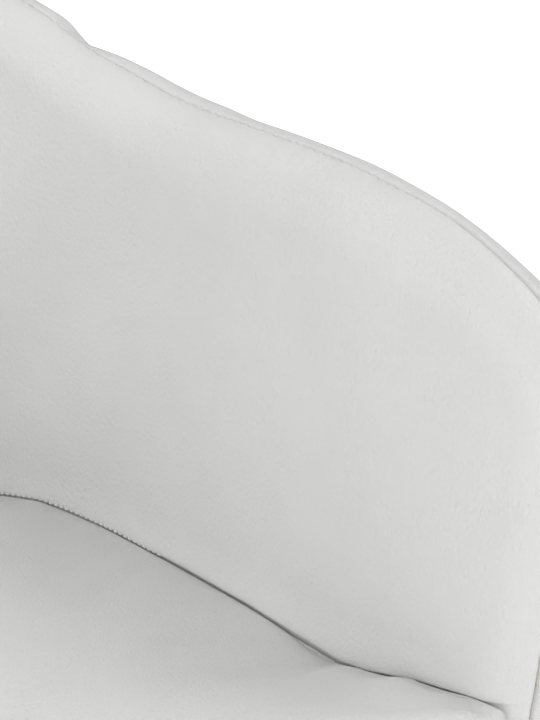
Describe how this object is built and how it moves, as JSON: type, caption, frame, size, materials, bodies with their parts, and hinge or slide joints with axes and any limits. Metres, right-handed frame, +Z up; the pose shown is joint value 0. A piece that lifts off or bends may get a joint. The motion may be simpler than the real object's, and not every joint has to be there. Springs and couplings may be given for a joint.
{
  "type": "pedicure stool",
  "caption": "Low upholstered tub seat with padded arms and back on a short gas lift, lever release and star base with twin-wheel casters.",
  "frame": {"origin": "on the floor, on the axis of the gas lift column", "axes": "+Z up; the stool faces -Y, so the sitter looks along -Y; +X is the side with the release lever, on the left hand of the sitter"},
  "size_m": [0.5704, 0.5113, 0.672],
  "materials": {
    "white_leatherette": "white grained leatherette, soft satin",
    "polished_metal": "polished chrome plate",
    "polished_aluminium": "polished die-cast aluminium",
    "bearing_steel": "ground steel",
    "zinc_steel": "zinc plated",
    "black_steel": "black powder coat",
    "black_plastic": "moulded black nylon",
    "cage_plastic": "natural nylon",
    "wheel_polyurethane": "grey polyurethane tread",
    "rubber": "black rubber",
    "plywood": "birch plywood",
    "foam": "open-cell polyurethane foam",
    "felt": "black non-woven dust cloth"
  },
  "bodies": {
    "base": {"star_base": "polished_aluminium", "caster_sockets": "zinc_steel", "column_cover": "polished_metal", "column_tube": "polished_metal", "guide_sleeve": "black_plastic", "lower_race": "bearing_steel"},
    "bearing": {"bearing_cage": "cage_plastic", "bearing_balls": "bearing_steel"},
    "piston": {"piston_rod": "bearing_steel", "upper_race": "bearing_steel", "rubber_bumper": "rubber", "retaining_clip": "zinc_steel"},
    "seat": {"gas_cylinder": "polished_metal", "mech_plate": "black_steel", "plate_bolts": "zinc_steel", "tee_nuts": "zinc_steel", "seat_board": "plywood", "dust_cover": "felt", "seat_foam": "foam", "seat_cover": "white_leatherette", "front_apron": "white_leatherette", "tub_shell": "plywood", "shell_screws": "zinc_steel", "tub_foam": "foam", "inner_cover": "white_leatherette", "rim_band": "white_leatherette", "outer_cover": "white_leatherette", "lever_pin": "zinc_steel", "pin_clips": "zinc_steel"},
    "lever": {"release_lever": "polished_metal", "lever_handle": "black_plastic"},
    "valve": {"valve_pin": "bearing_steel"},
    "caster_1": {"caster_hood_1": "black_plastic", "caster_stem_1": "zinc_steel", "caster_axle_1": "zinc_steel"},
    "wheel_left_1": {"caster_wheel_left_1": "wheel_polyurethane"},
    "wheel_right_1": {"caster_wheel_right_1": "wheel_polyurethane"},
    "caster_2": {"caster_hood_2": "black_plastic", "caster_stem_2": "zinc_steel", "caster_axle_2": "zinc_steel"},
    "wheel_left_2": {"caster_wheel_left_2": "wheel_polyurethane"},
    "wheel_right_2": {"caster_wheel_right_2": "wheel_polyurethane"},
    "caster_3": {"caster_hood_3": "black_plastic", "caster_stem_3": "zinc_steel", "caster_axle_3": "zinc_steel"},
    "wheel_left_3": {"caster_wheel_left_3": "wheel_polyurethane"},
    "wheel_right_3": {"caster_wheel_right_3": "wheel_polyurethane"},
    "caster_4": {"caster_hood_4": "black_plastic", "caster_stem_4": "zinc_steel", "caster_axle_4": "zinc_steel"},
    "wheel_left_4": {"caster_wheel_left_4": "wheel_polyurethane"},
    "wheel_right_4": {"caster_wheel_right_4": "wheel_polyurethane"},
    "caster_5": {"caster_hood_5": "black_plastic", "caster_stem_5": "zinc_steel", "caster_axle_5": "zinc_steel"},
    "wheel_left_5": {"caster_wheel_left_5": "wheel_polyurethane"},
    "wheel_right_5": {"caster_wheel_right_5": "wheel_polyurethane"}
  },
  "joints": [
    {"name": "seat_swivel", "type": "hinge", "parent": "base", "child": "piston", "pos_m": [0, 0, 0.07], "axis": [0, 0, 1], "continuous": true},
    {"name": "bearing_roll", "type": "hinge", "parent": "base", "child": "bearing", "pos_m": [0, 0, 0.0675], "axis": [0, 0, 1], "continuous": true},
    {"name": "seat_lift", "type": "slide", "parent": "piston", "child": "seat", "axis": [0, 0, 1], "range_m": [0, 0.105]},
    {"name": "lever_lift", "type": "hinge", "parent": "seat", "child": "lever", "pos_m": [0.058, 0, 0.288], "axis": [0, -1, 0], "range_deg": [0, 5]},
    {"name": "valve_press", "type": "slide", "parent": "seat", "child": "valve", "axis": [0, 0, -1], "range_m": [0, 0.0055]},
    {"name": "caster_swivel_1", "type": "hinge", "parent": "base", "child": "caster_1", "pos_m": [0, 0.262, 0.06], "axis": [0, 0, 1], "continuous": true},
    {"name": "wheel_spin_left_1", "type": "hinge", "parent": "caster_1", "child": "wheel_left_1", "pos_m": [0, 0.24, 0.025], "axis": [-1, 0, 0], "continuous": true},
    {"name": "wheel_spin_right_1", "type": "hinge", "parent": "caster_1", "child": "wheel_right_1", "pos_m": [0, 0.24, 0.025], "axis": [-1, 0, 0], "continuous": true},
    {"name": "caster_swivel_2", "type": "hinge", "parent": "base", "child": "caster_2", "pos_m": [-0.24918, 0.08096, 0.06], "axis": [0, 0, 1], "continuous": true},
    {"name": "wheel_spin_left_2", "type": "hinge", "parent": "caster_2", "child": "wheel_left_2", "pos_m": [-0.22825, 0.07416, 0.025], "axis": [-0.309, -0.9511, 0], "continuous": true},
    {"name": "wheel_spin_right_2", "type": "hinge", "parent": "caster_2", "child": "wheel_right_2", "pos_m": [-0.22825, 0.07416, 0.025], "axis": [-0.309, -0.9511, 0], "continuous": true},
    {"name": "caster_swivel_3", "type": "hinge", "parent": "base", "child": "caster_3", "pos_m": [-0.154, -0.21196, 0.06], "axis": [0, 0, 1], "continuous": true},
    {"name": "wheel_spin_left_3", "type": "hinge", "parent": "caster_3", "child": "wheel_left_3", "pos_m": [-0.14107, -0.19416, 0.025], "axis": [0.809, -0.5878, 0], "continuous": true},
    {"name": "wheel_spin_right_3", "type": "hinge", "parent": "caster_3", "child": "wheel_right_3", "pos_m": [-0.14107, -0.19416, 0.025], "axis": [0.809, -0.5878, 0], "continuous": true},
    {"name": "caster_swivel_4", "type": "hinge", "parent": "base", "child": "caster_4", "pos_m": [0.154, -0.21196, 0.06], "axis": [0, 0, 1], "continuous": true},
    {"name": "wheel_spin_left_4", "type": "hinge", "parent": "caster_4", "child": "wheel_left_4", "pos_m": [0.14107, -0.19416, 0.025], "axis": [0.809, 0.5878, 0], "continuous": true},
    {"name": "wheel_spin_right_4", "type": "hinge", "parent": "caster_4", "child": "wheel_right_4", "pos_m": [0.14107, -0.19416, 0.025], "axis": [0.809, 0.5878, 0], "continuous": true},
    {"name": "caster_swivel_5", "type": "hinge", "parent": "base", "child": "caster_5", "pos_m": [0.24918, 0.08096, 0.06], "axis": [0, 0, 1], "continuous": true},
    {"name": "wheel_spin_left_5", "type": "hinge", "parent": "caster_5", "child": "wheel_left_5", "pos_m": [0.22825, 0.07416, 0.025], "axis": [-0.309, 0.9511, 0], "continuous": true},
    {"name": "wheel_spin_right_5", "type": "hinge", "parent": "caster_5", "child": "wheel_right_5", "pos_m": [0.22825, 0.07416, 0.025], "axis": [-0.309, 0.9511, 0], "continuous": true}
  ],
  "couplings": [
    {"joint": "bearing_roll", "follows": "seat_swivel", "ratio": 0.5},
    {"joint": "valve_press", "follows": "lever_lift", "m_per_rad": 0.058}
  ]
}
